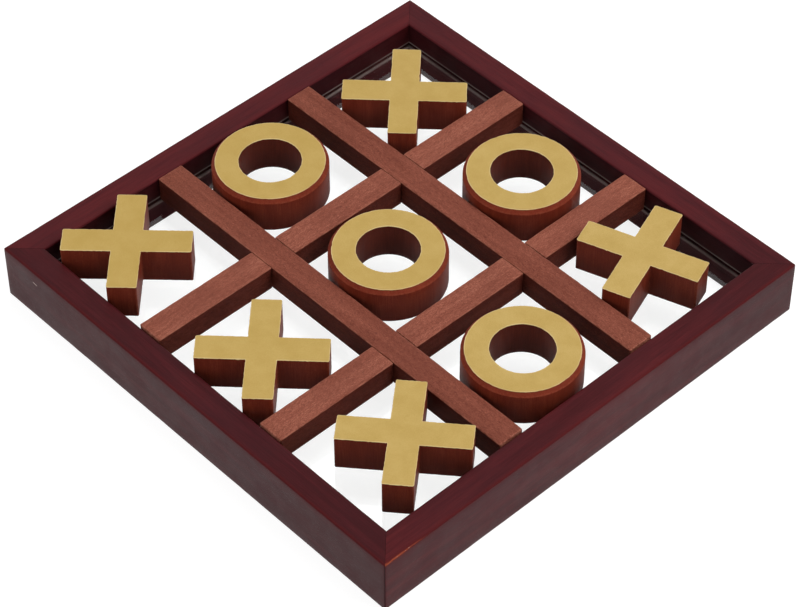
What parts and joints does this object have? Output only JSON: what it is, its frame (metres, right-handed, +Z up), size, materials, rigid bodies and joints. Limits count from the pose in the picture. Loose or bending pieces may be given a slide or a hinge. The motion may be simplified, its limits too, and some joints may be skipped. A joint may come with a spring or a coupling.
{
  "type": "tic tac toe set",
  "caption": "Square mitred wooden frame with a glass pane at mid-height and a lattice of slats that makes nine cells, with loose gold-faced X blocks and O rings lying in them.",
  "frame": {"origin": "on the table, under the middle of the square frame", "axes": "+Z up; +X to the right and +Y to the back, square to the rails, with the long slats along X"},
  "size_m": [0.356, 0.356, 0.0505],
  "materials": {
    "frame_lacquer": "dark mahogany lacquer, semi-gloss",
    "slat_wood": "red-brown stain, satin",
    "block_wood": "dark red-brown stain, satin",
    "gold_sheet": "satin gold",
    "clear_glass": "clear, polished",
    "nail_steel": "bare steel"
  },
  "bodies": {
    "board": {"front_rail": "frame_lacquer", "right_rail": "frame_lacquer", "back_rail": "frame_lacquer", "left_rail": "frame_lacquer", "glass_pane": "clear_glass", "corner_nails": "nail_steel", "front_long_slat": "slat_wood", "back_long_slat": "slat_wood", "left_front_cross_slat": "slat_wood", "left_middle_cross_slat": "slat_wood", "left_back_cross_slat": "slat_wood", "right_front_cross_slat": "slat_wood", "right_middle_cross_slat": "slat_wood", "right_back_cross_slat": "slat_wood"},
    "x_1": {"x_block_1": "block_wood", "x_gold_face_1": "gold_sheet"},
    "x_2": {"x_block_2": "block_wood", "x_gold_face_2": "gold_sheet"},
    "x_3": {"x_block_3": "block_wood", "x_gold_face_3": "gold_sheet"},
    "x_4": {"x_block_4": "block_wood", "x_gold_face_4": "gold_sheet"},
    "x_5": {"x_block_5": "block_wood", "x_gold_face_5": "gold_sheet"},
    "o_1": {"o_ring_1": "block_wood", "o_gold_face_1": "gold_sheet"},
    "o_2": {"o_ring_2": "block_wood", "o_gold_face_2": "gold_sheet"},
    "o_3": {"o_ring_3": "block_wood", "o_gold_face_3": "gold_sheet"},
    "o_4": {"o_ring_4": "block_wood", "o_gold_face_4": "gold_sheet"}
  },
  "joints": [
    {"name": "x_1_lift", "type": "slide", "parent": "board", "child": "x_1", "axis": [0, 0, 1], "range_m": [0, 0.06]},
    {"name": "x_2_lift", "type": "slide", "parent": "board", "child": "x_2", "axis": [0, 0, 1], "range_m": [0, 0.06]},
    {"name": "x_3_lift", "type": "slide", "parent": "board", "child": "x_3", "axis": [0, 0, 1], "range_m": [0, 0.06]},
    {"name": "x_4_lift", "type": "slide", "parent": "board", "child": "x_4", "axis": [0, 0, 1], "range_m": [0, 0.06]},
    {"name": "x_5_lift", "type": "slide", "parent": "board", "child": "x_5", "axis": [0, 0, 1], "range_m": [0, 0.06]},
    {"name": "o_1_lift", "type": "slide", "parent": "board", "child": "o_1", "axis": [0, 0, 1], "range_m": [0, 0.06]},
    {"name": "o_2_lift", "type": "slide", "parent": "board", "child": "o_2", "axis": [0, 0, 1], "range_m": [0, 0.06]},
    {"name": "o_3_lift", "type": "slide", "parent": "board", "child": "o_3", "axis": [0, 0, 1], "range_m": [0, 0.06]},
    {"name": "o_4_lift", "type": "slide", "parent": "board", "child": "o_4", "axis": [0, 0, 1], "range_m": [0, 0.06]}
  ]
}
